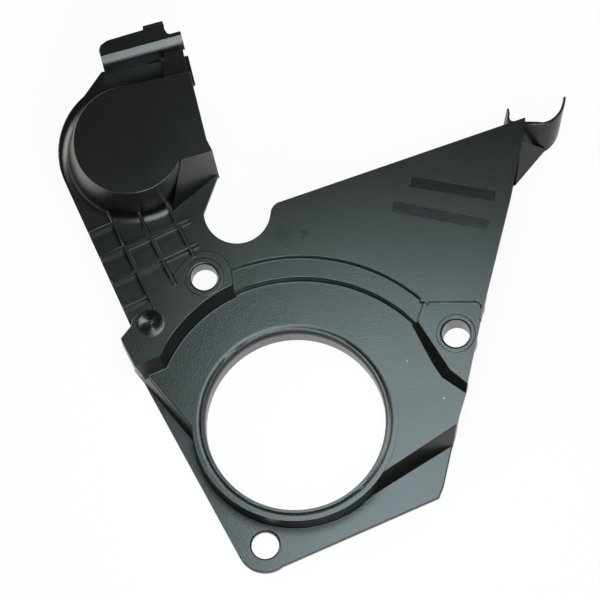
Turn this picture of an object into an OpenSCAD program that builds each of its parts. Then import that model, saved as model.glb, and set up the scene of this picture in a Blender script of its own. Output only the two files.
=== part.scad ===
// Lower timing cover: one moulded sheet that steps from a thin bolting flange
// up to a crank deck, a main plate and a raised pulley drum.
// Origin on the crank bore axis, Z up from the mounting plane to the outer face.

/* [Sheet] */
// wall thickness of the moulding
wall = 2.5; // [2:0.1:3.2]
// thickness of the bolting flange at the foot
flange_z = 3; // [2.5:0.1:4]

/* [Levels] */
// top of the deck round the crank bore
deck_z = 13; // [11:0.5:15]
// top of the curved step above the deck
step_z = 18; // [16.5:0.5:19]
// top of the right bolt pad
pad_z = 19.5; // [19:0.5:20.5]
// top of the main plate
plate_z = 21; // [20.5:0.5:23]
// top of the left bolt lug
lug_z = 24; // [23.5:0.5:26]
// top of the pulley drum
drum_z = 45; // [40:1:50]

/* [Places] */
// drum axis left of the crank axis
drum_x = 65.6; // [60:0.2:71]
// drum axis above the crank axis
drum_y = 107.8; // [102:0.2:116]
// tip of the main plate right of the crank axis
tip_x = 92; // [87:0.5:98]
// tip of the main plate above the crank axis
tip_y = 122.4; // [116:0.2:129]
// foot hole left of the crank axis
foot_x = 12.2; // [8:0.2:16]
// foot hole below the crank axis
foot_y = 48.6; // [47:0.2:54]

/* [Crank bore] */
// diameter of the crank bore
bore_d = 72; // [66:1:74]
// rounding of the bore mouth
bore_round = 3.6; // [2:0.2:4]
// height of the bead round the bore above the deck
bead_h = 0.6; // [0.3:0.1:1]

/* [Bolt holes] */
// diameter of the left hole
left_d = 10.6; // [9:0.2:11]
// diameter of the right hole
right_d = 11.2; // [9:0.2:12]
// diameter of the foot hole
foot_d = 11; // [9:0.5:12]
// outer diameter of the bolt tubes behind the plate
tube_d = 16.4; // [15.4:0.2:17.4]
// rear end of the left bolt tube above the mounting plane
left_tube_z = 14; // [11:0.5:16]
// rear end of the right bolt tube above the mounting plane
right_tube_z = 5; // [3:0.5:8]
// height of the seat rings round the two upper holes
seat_h = 0.4; // [0.2:0.1:0.8]

/* [Drum] */
// radius of the flat drum top
drum_r = 22.2; // [20:0.2:24]
// draft of the drum side, degrees
drum_draft = 8; // [5:0.5:9]
// fillet radius at the drum foot
drum_fillet = 4; // [3:0.2:4.4]

/* [Ribs] */
// height of the ribs above the plate
rib_h = 4; // [3.2:0.2:5]
// thickness of the ribs
rib_w = 1.4; // [1:0.1:2]

/* [Clip] */
// height of the clip edge above the mounting plane
clip_z = 34; // [32:0.5:36]
// height of the clip tab top
tab_z = 37; // [36.5:0.5:39]

/* [Cradle] */
// radius of the cradle's round arm
cradle_r = 8.6; // [8:0.1:9.2]
// wall of the cradle
cradle_wall = 1; // [0.8:0.1:1.6]
// lean of the cradle, degrees
cradle_lean = 33; // [30:1:36]
// height of the cradle's lower edge
cradle_foot = 6; // [5:0.5:8]

/* [Hidden] */
$fn = 96;
bore_r = bore_d / 2;
deck_r = bore_r + 5.2;
left_c = [-36.2, 56.4];
right_c = [64.3, 33.8];
foot_c = [-foot_x, -foot_y];
drum_c = [-drum_x, drum_y];
tip = [tip_x, tip_y];
arm_c = drum_c + [0.4, 2];
arm_left = drum_c + [-27.2, -10.5];
lug_corner = [-65.6, 37.2];
step_c = [2.2, -8];
step_in = 65.6;
step_out = 73.7;
lug_r = 58.7;
notch_c = [-23.4, 84.4];
notch_r = 13.4;
arm_r = 30.3;
drum_foot_r = drum_r + (drum_z - plate_z) * tan(drum_draft);
deck_under = deck_z - wall;
step_under = step_z - wall;
plate_under = plate_z - wall;
lug_under = lug_z - wall;
cradle_top = plate_z - 0.5;
brace_top = plate_z - 1;
brace_low = plate_z - 2.8;
label_h = 4.6;
through = drum_z + 15;

// points given from a place
function from(c, pts) = [for (p = pts) p + c];
// points with heights given from a place
function from3(c, pts) = [for (p = pts) [p.x + c.x, p.y + c.y, p.z]];
// left edge of the rib plate at a height up the cover
function edge_x(y) = arm_left.x
    + (lug_corner.x - arm_left.x) * (arm_left.y - y) / (arm_left.y - lug_corner.y);

// flat slab of a point list between two heights
module slab(pts, z0, z1) {
    translate([0, 0, z0]) linear_extrude(z1 - z0) polygon(pts);
}

// sloped wall: upper edge from a to b, the lower deck lies on its left hand
module ramp(a, b, run, zt, zl) {
    d = b - a;
    translate([a.x, a.y, 0]) rotate([0, 0, atan2(d.x, -d.y)]) rotate([90, 0, 0])
        linear_extrude(norm(d)) polygon([[-wall, zt], [0, zt], [run, zl],
            [run, zl - wall], [run - wall, zl - wall], [-wall, zt - wall]]);
}

// right-hand outline of the cover, used to trim the walls that meet it
module right_trim() {
    slab(concat([[-120, -80], [45, -80], [58.9, -25], [62, -10.2], [64.3, -2.4], [68.7, 12.6],
        [75.9, 46.4], [85.9, 88.2]], from(tip, [[-1.5, -11.6], [0, 0], [0, 57.6]]),
        [[-120, 180]]), -1, 60);
}

// left-hand outline from the foot to the lug
module left_trim() {
    slab([foot_c + [-10.1, -5], [-12, -80], [120, -80], [120, 180], [-120, 180], [-120, 31.5],
        [-69.4, 31.5], [-63.6, 20], [-61.2, 18.4]], -1, 60);
}

module flange() {
    intersection() {
        linear_extrude(flange_z) difference() {
            union() {
                polygon([[-61.2, 18.4], foot_c + [-10.1, -5], foot_c + [4.3, -9.9], [57.1, -29.6],
                    [58.9, -25], [72, -18], [72, -1.2], [32, -26.5], [0, -20], [-39.7, -7.3],
                    [-60, 19.4]]);
                translate(foot_c) circle(11.2);
            }
            circle(deck_r - 1);
        }
        right_trim();
    }
}

module deck_shape() {
    circle(deck_r);
    intersection() {
        union() {
            translate(step_c) circle(step_in + 0.5);
            // right of the step the deck runs on to the outline
            polygon([[40, -30], [90, -30], [90, 25], [40, 25]]);
        }
        polygon([[-28, 52], [0, 0], [35.6, -19.2], [66, 0.2], [72, 9.6], [58.6, 17.2],
            [47, 39.6], [47, 70], [-28, 70]]);
    }
    intersection() {
        circle(lug_r - 1.8);
        polygon([[0, 0], [-24, 55], [-60, 48], [-54, 22]]);
    }
    polygon([[-58.76, 20.95], [-39.9, -2.3], [0, 0], [-45, 33], [-51.8, 24.6], [-52.8, 23.5]]);
}

module deck() {
    difference() {
        intersection() {
            translate([0, 0, deck_under]) linear_extrude(wall) deck_shape();
            right_trim();
        }
        cylinder(h = 100, r = bore_r + 1, center = true);
    }
    // walls down to the flange
    difference() {
        intersection() {
            union() {
                ramp([-36, -9], [-63.5, 24.9], 2.3, deck_z, flange_z);
                ramp([75, 4.7], [28, -25.7], 3.9, deck_z, flange_z);
            }
            right_trim();
            left_trim();
        }
        cylinder(h = 100, r = bore_r + 2, center = true);
    }
    intersection() {
        difference() {
            cylinder(h = deck_z, r1 = deck_r + 0.7, r2 = deck_r);
            translate([0, 0, -1]) cylinder(h = 60, r = bore_r + 1.2);
        }
        slab([[0, 0], [-60, -4.6], [-60, -60], [60, -60], [60, -33.2]], -1, 60);
    }
}

// rounded bead and collar of the crank bore
module bore_collar() {
    top = deck_z + bead_h;
    rotate_extrude() difference() {
        polygon([[bore_r, 0], [bore_r + wall, 0], [bore_r + wall, deck_under],
            [deck_r, deck_under], [deck_r, top], [bore_r, top]]);
        difference() {
            translate([bore_r - 1, top - bore_round]) square([bore_round + 1, bore_round + 1]);
            translate([bore_r + bore_round, top - bore_round]) circle(bore_round);
            translate([bore_r + bore_round - 0.001, 0]) square([bore_round, top]);
        }
    }
}

module step_sector(z0, z1) {
    slab([[2.2, -8], [-33, 58], [-33, 78], [53.2, 78], [53.2, 46], [50.5, 37.5]], z0, z1);
}

// curved step between the deck and the main plate
module curved_step() {
    intersection() {
        union() {
            translate([step_c.x, step_c.y, step_under]) difference() {
                cylinder(h = wall, r = step_out + 0.6);
                translate([0, 0, -1]) cylinder(h = wall + 2, r = step_in + 0.6);
            }
            translate([step_c.x, step_c.y, deck_under]) difference() {
                cylinder(h = step_z - deck_under, r = step_in + wall);
                translate([0, 0, -0.01])
                    cylinder(h = step_z - deck_under + 0.02, r1 = step_in - 0.6, r2 = step_in);
            }
            translate([step_c.x, step_c.y, step_under]) difference() {
                cylinder(h = plate_z - step_under, r = step_out + wall);
                translate([0, 0, -0.01])
                    cylinder(h = plate_z - step_under + 0.02, r1 = step_out - 0.4, r2 = step_out);
            }
        }
        step_sector(0, 60);
    }
}

module pad_mesa(in, zt) {
    hull() {
        slab([[51.6 + in, 46.6 - in], [75.7, 46.6 - in], [68.9, 13.4 + 1.4 * in],
            [61.3 + 0.4 * in, 19.6 + 1.1 * in], [49 + in, 38.7]], zt - 0.02, zt);
        slab([[48.4 + in, 46.6 - in], [75.7, 46.6 - in], [68, 9.6 + 1.4 * in],
            [57.4 + 0.4 * in, 16.8 + 1.1 * in], [45.6 + in, 39.2]], deck_under - 0.01, deck_under);
    }
}

// right bolt pad with its sloped sides
module pad() {
    intersection() {
        difference() {
            pad_mesa(0, pad_z);
            translate([0, 0, -0.01]) pad_mesa(wall, pad_z - wall);
            // open at the right outline
            slab([[60, 44.1], [90, 44.1], [90, 8], [67.6, 15], [62, 21]], 0, pad_z - wall);
        }
        right_trim();
    }
}

// wall of the main plate along the top of the pad, with its rounded corner
module pad_wall() {
    intersection() {
        difference() {
            slab([[50, 46], [50, 49], [78, 49], [74.6, 39]], pad_z - wall, plate_z);
            slab([[40, 46.6], [71.8, 46.6], [71.8, 30], [40, 30]], 0, 60);
            translate([71.4, 43.6, 0]) cylinder(h = 60, r = 3);
            slab([[60, 44], [74.4, 43.6], [72, 30], [60, 30]], 0, 60);
        }
        right_trim();
    }
}

module plate_shape() {
    difference() {
        union() {
            polygon(concat([tip, [-6.7, 87.95], [-5, 83.3], [-10, 83.3], [-14, 80], [-33, 80],
                [-36.76, 83.4]], from(drum_c, [[34.6, -8.6], [22, 41.2], [-13, 34.4], [-25.1, 16.8]]),
                [arm_left, lug_corner, [-42, 62], [-20, 48], [50, 46.6], [75.9, 46.6],
                [85.9, 88.2], tip + [-1.5, -11.6]]));
            translate(arm_c) circle(arm_r);
            translate([-5, 83.3]) circle(5);
        }
        intersection() {
            translate(notch_c) circle(notch_r);
            translate(notch_c - [20, 20]) square([40, 19]);
        }
        translate(step_c) circle(step_out + 0.5);
    }
}

module plate() {
    translate([0, 0, plate_under]) linear_extrude(wall) plate_shape();
}

module lug_shape(in) {
    translate([-35.5, 57]) circle(10.4 - in);
    polygon([[-42.6 + 0.4 * in, 64.6 - in], [-64.9 + 0.7 * in, 39.3 - 0.7 * in],
        [-65.4 + 0.4 * in, 36.5 - in], [-70.4 + 1.3 * in, 30.25 + 0.9 * in],
        [-68.4 + 3.5 * in, 12.6 + 1.9 * in], [-49.2, 20.8], [-24, 48], [-25.2 - in, 57.5]]);
}

// all that lies beyond a sloped face: upper edge from a to b, run to the lower deck
module slope_cut(a, b, run, zt, zl, in) {
    d = b - a;
    m = run / (zt - zl);
    x0 = -in * norm([1, m]);
    translate([a.x, a.y, 0]) rotate([0, 0, atan2(d.x, -d.y)]) rotate([90, 0, 0])
        translate([0, 0, -40]) linear_extrude(120)
            polygon([[x0 - 20 * m, zt + 20], [x0 + zt * m, 0], [60, 0], [60, zt + 20]]);
}

// lug inside its sloped flare and its curved drop, shrunk by a wall for the hollow
module lug_mass(in) {
    lean = 0.23;
    difference() {
        translate([0, 0, deck_under - sign(in)])
            linear_extrude(lug_z - in - deck_under + sign(in)) lug_shape(in);
        translate([0, 0, deck_under - 2]) cylinder(h = lug_z - deck_under + 4,
            r1 = lug_r - (lug_z - deck_under + 2) * lean + in, r2 = lug_r + 2 * lean + in);
        slope_cut([-53.2, 24.4], [-68, 18.1], 2.9, lug_z, deck_z, in);
    }
}

// left bolt lug with its curved drop to the deck
module lug() {
    intersection() {
        difference() {
            lug_mass(0);
            lug_mass(wall);
            // open towards the plate below its underside
            slab([[-90, 70], [-66, 36], [-63, 36.6], [-41.4, 61.6], [-30, 58.5], [-21, 47],
                [-15, 70]], 0, plate_under);
        }
        left_trim();
    }
}

// conical locating bump on the lug
module bump() {
    translate([-57.4, 37.6, lug_z - 0.5]) rotate_extrude() difference() {
        square([6.2, 3.4]);
        translate([7.4, 8.5]) circle(8.15);
    }
}

module drum_body(in, zt, zb) {
    f = tan(drum_draft);
    g = (zt - zb) * f;
    translate([drum_c.x, drum_c.y, zb]) cylinder(h = zt - zb, r1 = drum_r - in + g, r2 = drum_r - in);
    hull() {
        slab(from(drum_c, [[-4.4, 21.4 - in], [35.6, 30.6 - in], [35.6, -4.1 + in],
            [21.1, -8.3 + in], [3.6, -3.8]]), zt - 0.02, zt);
        slab(from(drum_c, [[-4.4, 21.4 - in + g], [35.6, 30.6 - in + g], [35.6, -4.1 + in - g],
            [21.1, -8.3 + in - g], [3.6, -7.8]]), zb, zb + 0.02);
    }
}

// right-hand outline of the arm that carries the drum
module arm_trim() {
    slab(from(drum_c, [[-64.4, -47.8], [40.6, -47.8], [35, -8.9], [33.4, -4.4], [31.2, -0.2],
        [20.7, 42.2], [-64.4, 42.2]]), -1, 60);
}

// raised pulley drum, open on its right side where the belt leaves;
// below the plate only its left half goes on, down to the mounting plane
module drum() {
    intersection() {
        union() {
            difference() {
                drum_body(0, drum_z, 0);
                slab(from(drum_c, [[0.6, 2.2], [3.6, 52.2], [105.6, 52.2], [105.6, -47.8], [11.85, -47.8]]),
                    -1, plate_under + 0.6);
            }
            // sloped filling in the corner below the belt slot
            polyhedron(points = from3(drum_c, [[15.6, -25.3, plate_under],
                    [35, -8.9, plate_under], [23.6, -3.8, plate_under], [21.1, -8.3, drum_z],
                    [32.6, -5, drum_z], [23.6, -3.8, drum_z]]),
                faces = [[0, 1, 2], [5, 4, 3], [0, 3, 1], [1, 3, 4], [1, 4, 2], [2, 4, 5],
                    [2, 5, 0], [0, 5, 3]]);
            // hollow fillet at the foot
            translate([drum_c.x, drum_c.y, plate_z - 0.5]) rotate_extrude() difference() {
                translate([drum_foot_r - 2, 0])
                    square([drum_fillet + 1.4, drum_fillet + 0.5]);
                translate([drum_foot_r + drum_fillet - 0.6, drum_fillet + 0.5])
                    circle(drum_fillet);
            }
        }
        arm_trim();
    }
}

module drum_cavity() {
    drum_body(wall, drum_z - wall, -1);
}

module rib(a, b) {
    d = b - a;
    translate([a.x, a.y, plate_z - 0.5]) rotate([0, 0, atan2(d.y, d.x)])
        translate([0, -rib_w / 2, 0]) cube([norm(d), rib_w, rib_h + 0.5]);
}

// rib grid between the drum and the lug
module ribs() {
    rib([edge_x(74.4) + 0.04, 74.4], [-72.5, 78.9]);
    rib([edge_x(64.6) + 0.2, 64.6], [-42.5, 80.4]);
    rib([edge_x(54.4) + 0.4, 54.4], [-39, 70.4]);
    rib([edge_x(44.1) + 0.12, 44.1], [-59, 48.5]);
    rib(drum_c + [-9.6, -23.8], [-56, 43.9]);
    rib(drum_c + [2.8, -24.8], [-47.6, 53.2]);
    rib(drum_c + [14.1, -20.8], [-40.3, 65]);
}

// bolt tube behind a hole, with the seat ring on its face
module tube(c, zt, zb) {
    translate([c.x, c.y, zb]) {
        cylinder(h = zt - zb, d = tube_d);
        cylinder(h = zt + seat_h - zb, d = tube_d - 0.6);
    }
}

// clip at the end of the arm: wall, sloped face and tab
module clip() {
    ang = atan2(6.3, 23);
    translate([drum_c.x - 11.2, drum_c.y + 33.2, 0]) rotate([0, 0, ang]) {
        rotate([90, 0, 90]) linear_extrude(25) polygon([[0, plate_under], [2, plate_under],
            [2, clip_z - 1], [5.2, tab_z - 2], [5.2, tab_z], [4, tab_z], [0, clip_z]]);
        // part beside the block, with the sloped face carried lower
        translate([24, 0, 0]) rotate([90, 0, 90]) linear_extrude(9.5) polygon([[-1.2, clip_z - 3],
            [2, clip_z - 3], [5.2, tab_z - 2], [5.2, tab_z], [4, tab_z], [-1.2, clip_z - 0.9]]);
        translate([0, 0, tab_z - 2]) linear_extrude(2) difference() {
            union() {
                polygon([[0, 3.6], [33.2, 3.6], [33, 4.2], [29.8, 4.6], [28.2, 5.8],
                    [27.6, 11], [19.4, 10.8], [19.2, 9.6], [3.8, 9.2], [1.2, 8.2], [0, 6.4]]);
            }
            translate([31.2, 8.1]) circle(3.6);
        }
        translate([19.4, 10, tab_z - 2]) cube([8.2, 0.9, 2.7]);
    }
}

// block that joins the clip to the drum at the right-hand outline
module clip_block() {
    intersection() {
        difference() {
            slab(from(drum_c, [[13.2, 25.2], [13.2, 38.8], [25.6, 42], [25.6, 25.2]]),
                plate_under, clip_z - 1);
            slab(from(drum_c, [[15.7, 29.7], [15.7, 36.2], [29.6, 39.8], [29.6, 29.7]]),
                0, clip_z - 1 - wall);
        }
        slab(from(drum_c, [[5.6, 12.2], [26.6, 12.2], [20.2, 42.2], [5.6, 42.2]]), -1, 60);
    }
}

// outline of the cradle: round right arm, flat floor, short left arm
module cradle_outline(grow) {
    translate([0, cradle_r]) circle(cradle_r + grow);
    translate([-10.2, 2.6]) circle(2.6 + grow);
    polygon([[-10.2, -grow], [0, -grow], [0, 20], [-18.4 - grow, 20], [-12.7 - grow, 3.2],
        [-10.2, 2.6]]);
}

// leaning cradle under the tip of the plate
module cradle() {
    intersection() {
        translate([tip.x + 5.7, tip.y - 2.2, cradle_top - 0.5]) rotate([0, 0, -19])
            rotate([-cradle_lean, 0, 0]) rotate([0, 0, 14.5]) translate([0, -0.5, -30])
            linear_extrude(60) intersection() {
                difference() {
                    cradle_outline(cradle_wall / 2);
                    cradle_outline(-cradle_wall / 2);
                }
                polygon([[-20, 3.7], [16, 11.4], [16, -5], [-20, -5]]);
            }
        slab(from(tip, [[-22, -32.4], [28, -32.4], [28, 27.6], [-22, 27.6]]), cradle_foot, cradle_top);
    }
}

// brace between the plate edge and the cradle
module brace() {
    polyhedron(points = from3(tip, [[-1.4, -9.4, brace_top], [-4, -28, brace_top],
            [8, -10, cradle_foot + 2], [-2.6, -9.4, brace_low], [-5.6, -28, brace_low],
            [6.4, -9.2, cradle_foot + 0.2]]),
        faces = [[0, 2, 1], [3, 4, 5], [0, 1, 4], [0, 4, 3], [1, 2, 5], [1, 5, 4],
            [2, 0, 3], [2, 3, 5]]);
}

// bare label recesses on the main plate
module label_recess(a, b) {
    d = b - a;
    translate([a.x, a.y, plate_z - 0.35]) rotate([0, 0, atan2(d.y, d.x)])
        translate([0, -label_h / 2, 0]) cube([norm(d), label_h, 2]);
}

module timing_cover() {
    color([0.09, 0.1, 0.1]) difference() {
        union() {
            flange();
            deck();
            bore_collar();
            curved_step();
            pad();
            pad_wall();
            plate();
            lug();
            bump();
            drum();
            ribs();
            tube(left_c, lug_z, left_tube_z);
            tube(right_c, pad_z, right_tube_z);
            clip();
            clip_block();
            cradle();
            brace();
        }
        drum_cavity();
        translate([left_c.x, left_c.y, -1]) cylinder(h = through, d = left_d);
        translate([right_c.x, right_c.y, -1]) cylinder(h = through, d = right_d);
        translate([foot_c.x, foot_c.y, -1]) cylinder(h = through, d = foot_d);
        label_recess([46.2, 96.2], [79.9, 89.8]);
        label_recess([38.9, 86], [77.4, 78.1]);
    }
}

timing_cover();
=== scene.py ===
"""Timing cover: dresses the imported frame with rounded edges, a satin plastic and a plain white stage."""

import math

import bmesh
import bpy
from mathutils import Matrix, Vector


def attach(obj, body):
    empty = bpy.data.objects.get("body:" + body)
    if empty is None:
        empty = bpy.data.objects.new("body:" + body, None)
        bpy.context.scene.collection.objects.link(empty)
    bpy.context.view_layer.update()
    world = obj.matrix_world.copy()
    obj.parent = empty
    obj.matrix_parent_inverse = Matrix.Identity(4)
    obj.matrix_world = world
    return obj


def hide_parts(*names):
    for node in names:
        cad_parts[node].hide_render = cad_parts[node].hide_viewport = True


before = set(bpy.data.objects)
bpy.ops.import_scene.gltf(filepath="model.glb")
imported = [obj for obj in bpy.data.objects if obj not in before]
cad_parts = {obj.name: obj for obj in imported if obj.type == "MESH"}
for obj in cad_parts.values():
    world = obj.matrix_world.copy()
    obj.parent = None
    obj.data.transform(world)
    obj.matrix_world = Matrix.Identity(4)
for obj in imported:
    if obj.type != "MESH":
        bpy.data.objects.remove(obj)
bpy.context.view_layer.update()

bl_info = {
    "name": "Timing cover",
    "version": (1, 0, 0),
    "blender": (4, 5, 0),
    "location": "View3D > Sidebar > Timing cover",
    "description": "Builds the moulded cover, its satin plastic and the stage it lies on",
    "category": "Object",
}

MM = 0.001

# circles to round, each its middle, height and radius in mm: mouths of the bolt holes, rims of their seats
MOUTHS = ((-36.2, 56.4, 24.4, 5.3), (64.3, 33.8, 19.9, 5.6), (-12.2, -48.6, 3.0, 5.5))
SEATS = ((-36.2, 56.4, 24.4, 7.9), (64.3, 33.8, 19.9, 7.9))

# clip: its left end in mm and its turn
CLIP_AT = (-76.8, 141.0, 0.0)
CLIP_TURN = math.atan2(6.3, 23)
# its sloped face before that turn: the normal, the box in mm that holds the middle, and y at top and foot
SLOPE_NORMAL = (0.0, -0.6, 0.8)
SLOPE_WITHIN = ((-2, 36), (-2, 5), (32, 46))
SLOPE_TOP = 3.6
SLOPE_FOOT = -1.2

# heights in mm: main plate, floor of its two shallow recesses, deck round the crank bore
PLATE_Z = 21.0
RECESS_Z = PLATE_Z - 0.35
DECK_Z = 13.0
# greasy smudge beside the notch, in mm: the middle of each of its two patches and how far it fades out
SMUDGES = (((-4.2, 73.9, PLATE_Z), 10.5), ((3.4, 74.6, PLATE_Z), 8.0))
# pale specks of dust on the deck, in mm
SPECKS = ((44.6, 24.1, DECK_Z), (59.3, 8.8, DECK_Z))

# lamps: name, place, aim, width and height in m, power in W, linear tint
# the overhead box mirrors in the flats at the lower right and fades up to the drum, the front panel
# catches the rolled clip and the rims, and the left strip the bump, the ribs and the rounded edges
LAMPS = (
    ("overhead_softbox", (0.036, 0.012, 0.3), (0.036, 0.012, 0.0), (0.15, 0.21), 0.88, (0.77, 0.95, 1.0)),
    ("front_panel", (0.107, -0.42, 0.546), (-0.06, 0.145, 0.03), (0.25, 0.42), 1.95, (0.96, 1.0, 0.95)),
    ("left_strip", (-0.93, 0.50, 0.467), (-0.05, 0.04, 0.02), (0.5, 0.9), 11.0, (1.0, 1.0, 0.95)),
)
ROOM_TINT = (0.96, 1.0, 0.94, 1.0)

# camera: the point it looks at in mm, its lean off the plate's normal, and the way it leans, from +X
LOOK_AT = (1.634, 49.44, 13.0)
LEAN = math.radians(14.0)
LEANS_TO = math.radians(-78.466)


def linear(code):
    """sRGB hex such as 2a2d2c as linear RGBA."""
    parts = [int(code[i : i + 2], 16) / 255 for i in (0, 2, 4)]
    return [c / 12.92 if c <= 0.04045 else ((c + 0.055) / 1.055) ** 2.4 for c in parts] + [1.0]


def add(tree, kind, links=(), **settings):
    """One node. Settings that start with in_ go to the input of that name or number, the others to the node
    itself, and links are pairs of an input and the output that feeds it."""
    node = tree.nodes.new(kind)
    for key, value in settings.items():
        if key.startswith("in_"):
            name = key[3:].replace("_", " ")
            node.inputs[int(name) if name.isdigit() else name].default_value = value
        else:
            setattr(node, key, value)
    for name, source in links:
        tree.links.new(source, node.inputs[name])
    return node


def apart(one, other):
    """Angle between two normals, or a full turn where one has no length."""
    return one.angle(other, 2 * math.pi)


def roomy_edges(bm, angle, room):
    """Sharp edges whose two faces reach far enough from them to take a rounding."""

    def reach(face, edge):
        a, b = (v.co for v in edge.verts)
        across = face.normal.cross((b - a).normalized())
        return max(abs((v.co - a).dot(across)) for v in face.verts)

    return [
        e for e in bm.edges
        if len(e.link_faces) == 2 and e.calc_face_angle(0) > angle
        and min(reach(f, e) for f in e.link_faces) > room
    ]


def folds(bm, size):
    """Places where a face folds over itself, and the area that does: the shorter of two sides that cross,
    or else the face's corners, only those after a short side where it has many."""
    smallest = 0.02 * MM**2
    few = 8
    short = 1.2 * size

    def side(p, q, r):
        return (q[0] - p[0]) * (r[1] - p[1]) - (q[1] - p[1]) * (r[0] - p[0])

    bm.normal_update()
    folded = {}
    for a, b, c in bm.calc_loop_triangles():
        turn = (b.vert.co - a.vert.co).cross(c.vert.co - a.vert.co)
        if turn.length / 2 > smallest and turn.dot(a.face.normal) < 0.5 * turn.length:
            folded[a.face] = folded.get(a.face, 0) + turn.length / 2
    spots = []
    for face in folded:
        x = face.normal.orthogonal().normalized()
        y = face.normal.cross(x)
        corners = [v.co.copy() for v in face.verts]
        flat = [(c.dot(x), c.dot(y)) for c in corners]
        n = len(flat)
        sides = [(i, (i + 1) % n) for i in range(n)]
        lengths = [(corners[i] - corners[j]).length for i, j in sides]
        crossing = []
        for i in range(n):
            p, q = (flat[k] for k in sides[i])
            for j in range(i + 2, n - (i == 0)):
                r, t = (flat[k] for k in sides[j])
                if side(p, q, r) * side(p, q, t) < 0 and side(r, t, p) * side(r, t, q) < 0:
                    crossing += sides[i] if lengths[i] <= lengths[j] else sides[j]
        tight = [k for k in range(n) if n <= few or lengths[k - 1] < short]
        spots += [corners[k] for k in crossing or tight]
    return spots, sum(folded.values())


def rounded(bm, sizes):
    """A copy with its sharp edges rounded, and its new faces. Where a rounding folds a face, the edges near
    the fold stay sharp in the next try, and the try with the least folded area is kept."""
    tries = 9
    room = 2.1 * sizes.edge
    clear = 2.2 * sizes.edge
    barred = []
    best = None
    for _ in range(tries):
        trial = bm.copy()
        edges = [
            e for e in roomy_edges(trial, sizes.sharp, room)
            if not any((v.co - c).length < clear for v in e.verts for c in barred)
        ]
        if not edges:
            raise RuntimeError("no edge of the cover has room for its rounding")
        fresh = bmesh.ops.bevel(
            trial, geom=edges, offset=sizes.edge, offset_type="OFFSET", segments=2, profile=0.5,
            affect="EDGES", clamp_overlap=False, material=-1, loop_slide=True,
        )["faces"]
        spots, lost = folds(trial, sizes.edge)
        if best is None or lost < best[2]:
            if best:
                best[0].free()
            best = trial, fresh, lost
        else:
            trial.free()
        if not spots:
            break
        barred += spots
    return best[:2]


def ring_edges(bm, ring):
    """Edges of a circle, given as its middle, height and radius in millimetres."""
    x, y, z, r = ring
    near = 0.03
    fewest = 12
    on = {
        v for v in bm.verts
        if abs(v.co.z / MM - z) < near and abs(math.hypot(v.co.x / MM - x, v.co.y / MM - y) - r) < near
    }
    edges = [e for e in bm.edges if e.verts[0] in on and e.verts[1] in on]
    if len(edges) < fewest:
        raise RuntimeError("the cover has no round edge where a bolt hole or its seat is looked for")
    return edges


def roll_clip(bm, sizes):
    """Rolls the sloped face of the clip into a soft nose that steepens towards its foot."""
    turn = Matrix.Rotation(CLIP_TURN, 4, "Z")
    place = Matrix.Translation(Vector(CLIP_AT) * MM) @ turn
    back = place.inverted()
    near = 0.02

    def on_slope(face):
        middle = (back @ face.calc_center_median()) / MM
        inside = all(low < m < high for m, (low, high) in zip(middle, SLOPE_WITHIN))
        return inside and (face.normal - turn @ Vector(SLOPE_NORMAL)).length < near

    slope = [f for f in bm.faces if on_slope(f)]
    if not slope:
        raise RuntimeError("the clip has no sloped face to roll")
    strips = 10
    for k in range(1, strips):
        y = SLOPE_TOP + (SLOPE_FOOT - SLOPE_TOP) * k / strips
        geom = {g for f in slope for g in (f, *f.edges, *f.verts)}
        cut = bmesh.ops.bisect_plane(
            bm, geom=list(geom), dist=0.001 * MM,
            plane_co=place @ Vector((0, y * MM, 0)), plane_no=turn @ Vector((0, 1, 0)),
        )["geom"]
        slope = [g for g in cut if isinstance(g, bmesh.types.BMFace)]
    # down goes from 0 at the top to 1 at the foot, and the fullest bulge of the curve is brought to 1
    curl = 5
    fullest = 1.87
    for v in {v for f in slope for v in f.verts}:
        down = (SLOPE_TOP - (back @ v.co).y / MM) / (SLOPE_TOP - SLOPE_FOOT)
        v.co.z += fullest * sizes.roll * (down - down**curl)


def corner_normals(bm, fresh, gentle):
    """Shading normal of each face corner: broad flats keep their own, curved walls blend over gentle edges,
    and a rounding runs from the one side to the other."""
    # a flat is level and larger than this, in square mm
    broad = 70
    level = 0.99
    # a rounding takes a normal that lies no further than this from its own, in radians
    alike = 1.2
    bm.normal_update()
    bm.verts.index_update()
    bm.faces.index_update()
    fresh = set(fresh)
    area = {f: f.calc_area() / MM**2 for f in bm.faces}
    flat = {f for f in bm.faces if area[f] > broad and abs(f.normal.z) > level}
    found = {}
    for v in bm.verts:
        left = {f for f in v.link_faces if f not in fresh}
        sides = []
        while left:
            group = [left.pop()]
            for f in group:
                for e in v.link_edges:
                    if f in e.link_faces:
                        for g in e.link_faces:
                            if g in left and apart(f.normal, g.normal) < gentle:
                                left.discard(g)
                                group.append(g)
            widest = max(group, key=area.get)
            if widest in flat:
                blend = widest.normal.copy()
            else:
                blend = sum((f.normal * area[f] for f in group), Vector()).normalized()
            sides.append(blend)
            for f in group:
                found[f.index, v.index] = f.normal.copy() if f in flat else blend
        turns = [f for f in v.link_faces if f in fresh]
        for f in turns:
            near = min(sides, key=lambda n: apart(n, f.normal), default=None)
            if near is None or apart(near, f.normal) > alike:
                beside = [g.normal for g in turns if apart(g.normal, f.normal) < alike]
                near = sum(beside, Vector()).normalized()
            found[f.index, v.index] = near
    return [found[f.index, l.vert.index] for f in bm.faces for l in f.loops]


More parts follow.
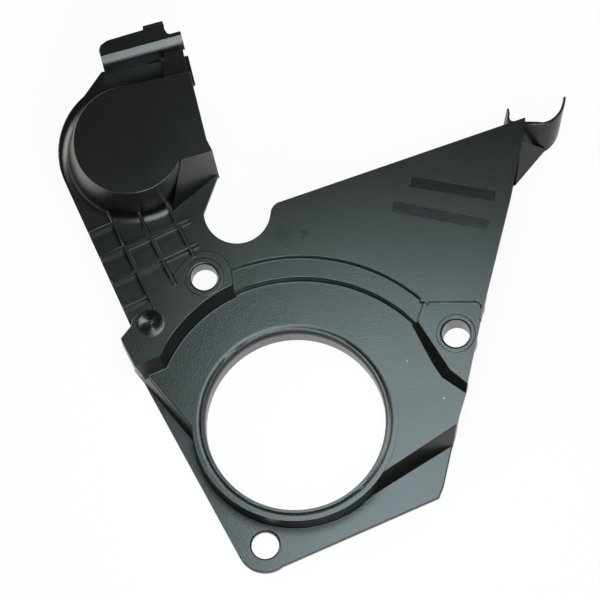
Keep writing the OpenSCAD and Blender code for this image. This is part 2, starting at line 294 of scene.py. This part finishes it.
class CoverSizes(bpy.types.PropertyGroup):
    """Sizes of the cover's finish."""

    sliver: bpy.props.FloatProperty(
        name="Sliver", description="Points closer than this are taken as one before the edges are rounded",
        default=0.002 * MM, min=0.001 * MM, max=0.2 * MM, subtype="DISTANCE", unit="LENGTH",
    )
    edge: bpy.props.FloatProperty(
        name="Edge radius", description="Rounding left by the mould on sharp edges",
        default=0.4 * MM, min=0.05 * MM, max=1.0 * MM, subtype="DISTANCE", unit="LENGTH",
    )
    sharp: bpy.props.FloatProperty(
        name="Sharp angle", description="Edges that turn more than this are rounded",
        default=math.radians(28), min=math.radians(10), max=math.radians(80),
        subtype="ANGLE", unit="ROTATION",
    )
    mouth: bpy.props.FloatProperty(
        name="Hole mouth", description="Rounding of the three bolt holes at the face",
        default=0.9 * MM, min=0.1 * MM, max=1.1 * MM, subtype="DISTANCE", unit="LENGTH",
    )
    seat: bpy.props.FloatProperty(
        name="Seat rim", description="Rounding of the raised seats round two of the bolt holes",
        default=0.36 * MM, min=0.05 * MM, max=0.38 * MM, subtype="DISTANCE", unit="LENGTH",
    )
    roll: bpy.props.FloatProperty(
        name="Clip roll", description="How far the sloped face of the clip bulges",
        default=0.75 * MM, min=0.0, max=0.9 * MM, subtype="DISTANCE", unit="LENGTH",
    )
    grain: bpy.props.FloatProperty(
        name="Grain", description="Width of one pit of the mould grain, drawn coarse so that it shows",
        default=0.7 * MM, min=0.1 * MM, max=3 * MM, subtype="DISTANCE", unit="LENGTH",
    )
    depth: bpy.props.FloatProperty(
        name="Grain depth", description="Depth of the mould grain",
        default=0.042 * MM, min=0.0, max=0.2 * MM, subtype="DISTANCE", unit="LENGTH",
    )
    cloud: bpy.props.FloatProperty(
        name="Clouding", description="Width of the soft clouds that the flowing melt leaves in the gloss",
        default=22 * MM, min=5 * MM, max=100 * MM, subtype="DISTANCE", unit="LENGTH",
    )
    patch: bpy.props.FloatProperty(
        name="Dust patch", description="Width of the patches in which handling dust gathers",
        default=60 * MM, min=5 * MM, max=200 * MM, subtype="DISTANCE", unit="LENGTH",
    )
    speck: bpy.props.FloatProperty(
        name="Speck", description="Radius of the pale specks on the deck",
        default=0.35 * MM, min=0.1 * MM, max=1.0 * MM, subtype="DISTANCE", unit="LENGTH",
    )


class CoverColours(bpy.types.PropertyGroup):
    """Colours of the cover and its stage, as sRGB hex."""

    plastic: bpy.props.StringProperty(
        name="Plastic", description="Filled polypropylene, satin black", default="0c0d07",
    )
    dust: bpy.props.StringProperty(name="Dust", description="Handling dust in the grain", default="7d8482")
    floor: bpy.props.StringProperty(name="Table", description="White table top", default="fbfbfb")
    white: bpy.props.StringProperty(name="Glow", description="The table's even light", default="fdfdfd")


class StageSizes(bpy.types.PropertyGroup):
    """Sizes of the table and the picture, and the room's light."""

    table: bpy.props.FloatProperty(
        name="Table", description="Radius of the table top",
        default=6.0, min=5.0, max=20.0, subtype="DISTANCE", unit="LENGTH",
    )
    screen: bpy.props.FloatProperty(
        name="Screen", description="Height of the white screen along the table's rim",
        default=1.0, min=0.5, max=2.0, subtype="DISTANCE", unit="LENGTH",
    )
    width: bpy.props.FloatProperty(
        name="Picture width", description="Width that the camera takes in at the cover",
        default=240 * MM, min=100 * MM, max=1.0, subtype="DISTANCE", unit="LENGTH",
    )
    distance: bpy.props.FloatProperty(
        name="Camera distance", description="How far the camera stands from the cover",
        default=4.0, min=1.0, max=4.5, subtype="DISTANCE", unit="LENGTH",
    )
    room: bpy.props.FloatProperty(
        name="Room light", description="Strength of the light from the room", default=0.07, min=0.0, max=1.0,
    )


def plastic_material(sizes, colours):
    """Talc-filled polypropylene, moulded black: a low satin gloss broken by mould grain, with soft flow
    clouding, darker recess floors, a greasy smudge and a trace of handling dust."""
    mat = bpy.data.materials.new("moulded_polypropylene_satin_black")
    mat.use_nodes = True
    tree = mat.node_tree
    tree.nodes.clear()
    coord = add(tree, "ShaderNodeTexCoord").outputs["Object"]
    at = [("Vector", coord)]
    cloud = add(tree, "ShaderNodeTexNoise", at, in_Scale=1 / sizes.cloud, in_Detail=3.0, in_Roughness=0.55)
    grain = add(tree, "ShaderNodeTexNoise", at, in_Scale=1 / sizes.grain, in_Detail=2.0, in_Roughness=0.6)
    patch = add(tree, "ShaderNodeTexNoise", at, in_Scale=1 / sizes.patch, in_Detail=2.0, in_Roughness=0.5)

    # the recess floors are found by their height
    height = add(tree, "ShaderNodeSeparateXYZ", at)
    recess = add(
        tree, "ShaderNodeMath", [(0, height.outputs["Z"])], operation="COMPARE",
        in_1=RECESS_Z * MM, in_2=0.06 * MM,
    )

    # the smudge is the stronger of its two patches, each made ragged by noise 5 mm wide
    noise = add(tree, "ShaderNodeTexNoise", at, in_Scale=1 / (5 * MM), in_Detail=4.0, in_Roughness=0.65)
    ragged = add(tree, "ShaderNodeMath", [(0, noise.outputs["Fac"])], operation="MULTIPLY", in_1=9 * MM)
    smears = []
    for place, reach in SMUDGES:
        far = add(tree, "ShaderNodeVectorMath", [(0, coord)], operation="DISTANCE", in_1=Vector(place) * MM)
        worn = add(
            tree, "ShaderNodeMath", [(0, far.outputs["Value"]), (1, ragged.outputs[0])], operation="ADD",
        )
        soft = add(
            tree, "ShaderNodeMapRange", [("Value", worn.outputs[0])], interpolation_type="SMOOTHSTEP",
            in_1=3 * MM, in_2=reach * MM, in_3=1.0, in_4=0.0,
        )
        smears.append(soft.outputs[0])
    smudge = add(tree, "ShaderNodeMath", enumerate(smears), operation="MAXIMUM")

    # dust is faint in its patches and full in the specks
    faint = add(
        tree, "ShaderNodeMapRange", [("Value", patch.outputs["Fac"])], interpolation_type="SMOOTHSTEP",
        in_1=0.4, in_2=0.9, in_3=0.0, in_4=0.02,
    )
    dust = faint.outputs[0]
    for place in SPECKS:
        far = add(tree, "ShaderNodeVectorMath", [(0, coord)], operation="DISTANCE", in_1=Vector(place) * MM)
        dot = add(
            tree, "ShaderNodeMath", [(0, far.outputs["Value"])], operation="LESS_THAN", in_1=sizes.speck,
        )
        dust = add(tree, "ShaderNodeMath", [(0, dot.outputs[0]), (1, dust)], operation="MAXIMUM").outputs[0]
    colour = add(
        tree, "ShaderNodeMix", [(0, dust)], data_type="RGBA",
        in_6=linear(colours.plastic), in_7=linear(colours.dust),
    )

    # the clouds vary the gloss, and the recess floors and the smudge are smoother still, so they look darker
    rough = add(
        tree, "ShaderNodeMapRange", [("Value", cloud.outputs["Fac"])], interpolation_type="SMOOTHSTEP",
        in_1=0.15, in_2=0.85, in_3=0.277, in_4=0.31,
    )
    for place, change in ((recess, -0.08), (smudge, -0.09)):
        rough = add(
            tree, "ShaderNodeMath", [(0, place.outputs[0]), (2, rough.outputs[0])],
            operation="MULTIPLY_ADD", in_1=change,
        )
    bump = add(
        tree, "ShaderNodeBump", [("Height", grain.outputs["Fac"])], in_Strength=1.0, in_Distance=sizes.depth,
    )
    shader = add(
        tree, "ShaderNodeBsdfPrincipled",
        [
            ("Base Color", colour.outputs[2]),
            ("Roughness", rough.outputs[0]),
            ("Normal", bump.outputs["Normal"]),
        ],
        in_IOR=1.49,
    )
    add(tree, "ShaderNodeOutputMaterial", [("Surface", shader.outputs[0])])
    return mat


def table_material(colours):
    """White laminate, evenly lit: nearly white where it is seen, with a faint shadow under the part."""
    mat = bpy.data.materials.new("white_table_laminate")
    mat.use_nodes = True
    tree = mat.node_tree
    tree.nodes.clear()
    # share of the even light in what is seen, straight or mirrored
    glow = 0.955
    rays = add(tree, "ShaderNodeLightPath").outputs
    seen = rays["Is Camera Ray"]
    for ray in ("Is Glossy Ray", "Is Transmission Ray"):
        seen = add(tree, "ShaderNodeMath", [(0, seen), (1, rays[ray])], operation="MAXIMUM").outputs[0]
    share = add(tree, "ShaderNodeMath", [(0, seen)], operation="MULTIPLY", in_1=glow)
    paper = add(tree, "ShaderNodeBsdfDiffuse", in_Color=linear(colours.floor))
    white = add(tree, "ShaderNodeEmission", in_Color=linear(colours.white), in_Strength=1.0)
    both = add(
        tree, "ShaderNodeMixShader",
        [(0, share.outputs[0]), (1, paper.outputs[0]), (2, white.outputs[0])],
    )
    add(tree, "ShaderNodeOutputMaterial", [("Surface", both.outputs[0])])
    return mat


class COVER_OT_moulding(bpy.types.Operator):
    """Rounds the edges of the moulded cover and gives it its plastic"""

    bl_idname = "cover.moulding"
    bl_label = "Moulded cover"

    def execute(self, context):
        sizes = context.scene.cover_sizes
        bm = bmesh.new()
        bm.from_mesh(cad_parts["timing_cover"].data)
        bmesh.ops.remove_doubles(bm, verts=bm.verts, dist=sizes.sliver)
        bmesh.ops.dissolve_degenerate(bm, edges=bm.edges, dist=sizes.sliver)
        bmesh.ops.dissolve_limit(bm, angle_limit=math.radians(0.1), verts=bm.verts, edges=bm.edges)
        bm.normal_update()
        roll_clip(bm, sizes)
        for rings, offset, steps in ((MOUTHS, sizes.mouth, 4), (SEATS, sizes.seat, 2)):
            bmesh.ops.bevel(
                bm, geom=[e for ring in rings for e in ring_edges(bm, ring)], offset=offset,
                offset_type="OFFSET", segments=steps, profile=0.5, affect="EDGES", clamp_overlap=False,
                material=-1, loop_slide=True,
            )
        made, fresh = rounded(bm, sizes)
        bm.free()
        normals = corner_normals(made, fresh, sizes.sharp)
        mesh = bpy.data.meshes.new("moulded_cover")
        made.to_mesh(mesh)
        made.free()
        mesh.shade_smooth()
        # every edge parts its corners, so that each keeps exactly the normal given to it
        for edge in mesh.edges:
            edge.use_edge_sharp = True
        mesh.normals_split_custom_set(normals)
        cover = bpy.data.objects.new("moulded_cover", mesh)
        context.scene.collection.objects.link(cover)
        cover.data.materials.append(plastic_material(sizes, context.scene.cover_colours))
        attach(cover, "root")
        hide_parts("timing_cover")
        return {"FINISHED"}


class COVER_OT_stage(bpy.types.Operator):
    """Lays the table, the soft lights and the camera"""

    bl_idname = "cover.stage"
    bl_label = "Stage"

    def execute(self, context):
        scene = context.scene
        sizes = scene.cover_stage

        # round table top with a low white screen along its rim, a hair below the cover
        bm = bmesh.new()
        rim = bmesh.ops.create_circle(bm, cap_ends=True, segments=96, radius=sizes.table)["verts"]
        edges = [e for e in bm.edges if set(e.verts) <= set(rim)]
        raised = bmesh.ops.extrude_edge_only(bm, edges=edges)["geom"]
        verts = [g for g in raised if isinstance(g, bmesh.types.BMVert)]
        bmesh.ops.translate(bm, verts=verts, vec=(0, 0, sizes.screen))
        mesh = bpy.data.meshes.new("table")
        bm.to_mesh(mesh)
        bm.free()
        table = bpy.data.objects.new("table", mesh)
        table.location = (0, 0, -0.05 * MM)
        scene.collection.objects.link(table)
        table.data.materials.append(table_material(scene.cover_colours))

        world = bpy.data.worlds.new("dim_room")
        scene.world = world
        world.use_nodes = True
        tree = world.node_tree
        tree.nodes.clear()
        room = add(tree, "ShaderNodeBackground", in_Color=ROOM_TINT, in_Strength=sizes.room)
        add(tree, "ShaderNodeOutputWorld", [("Surface", room.outputs[0])])

        for name, place, aim, size, power, tint in LAMPS:
            light = bpy.data.lights.new(name, "AREA")
            light.shape = "RECTANGLE"
            light.size, light.size_y = size
            light.energy = power
            light.color = tint
            lamp = bpy.data.objects.new(name, light)
            lamp.location = place
            lamp.visible_camera = False
            lamp.rotation_euler = (Vector(aim) - Vector(place)).to_track_quat("-Z", "Y").to_euler()
            scene.collection.objects.link(lamp)

        # long lens, turned the shortest way from straight down to its lean
        aside = math.sin(LEAN)
        back = Vector((aside * math.cos(LEANS_TO), aside * math.sin(LEANS_TO), math.cos(LEAN)))
        turn = Vector((0, 0, 1)).rotation_difference(back).to_matrix().to_4x4()
        data = bpy.data.cameras.new("camera")
        data.lens = data.sensor_width * sizes.distance / sizes.width
        data.clip_end = 50
        camera = bpy.data.objects.new("camera", data)
        camera.matrix_world = Matrix.Translation(Vector(LOOK_AT) * MM + back * sizes.distance) @ turn
        scene.collection.objects.link(camera)
        scene.camera = camera
        scene.view_settings.view_transform = "Standard"
        return {"FINISHED"}


class COVER_PT_panel(bpy.types.Panel):
    """Lists the cover's sizes, colours, stage and operators"""

    bl_label = "Timing cover"
    bl_idname = "COVER_PT_panel"
    bl_space_type = "VIEW_3D"
    bl_region_type = "UI"
    bl_category = "Timing cover"

    def draw(self, context):
        scene = context.scene
        for group in (scene.cover_sizes, scene.cover_colours, scene.cover_stage):
            for name in group.bl_rna.properties.keys():
                if name not in ("rna_type", "name"):
                    self.layout.prop(group, name)
        for op in (COVER_OT_moulding, COVER_OT_stage):
            self.layout.operator(op.bl_idname)


CLASSES = (CoverSizes, CoverColours, StageSizes, COVER_OT_moulding, COVER_OT_stage, COVER_PT_panel)


def register():
    for cls in CLASSES:
        bpy.utils.register_class(cls)
    bpy.types.Scene.cover_sizes = bpy.props.PointerProperty(type=CoverSizes)
    bpy.types.Scene.cover_colours = bpy.props.PointerProperty(type=CoverColours)
    bpy.types.Scene.cover_stage = bpy.props.PointerProperty(type=StageSizes)


def unregister():
    del bpy.types.Scene.cover_stage
    del bpy.types.Scene.cover_colours
    del bpy.types.Scene.cover_sizes
    for cls in reversed(CLASSES):
        bpy.utils.unregister_class(cls)


def main():
    register()
    bpy.ops.cover.moulding()
    bpy.ops.cover.stage()


if __name__ == "__main__":
    main()
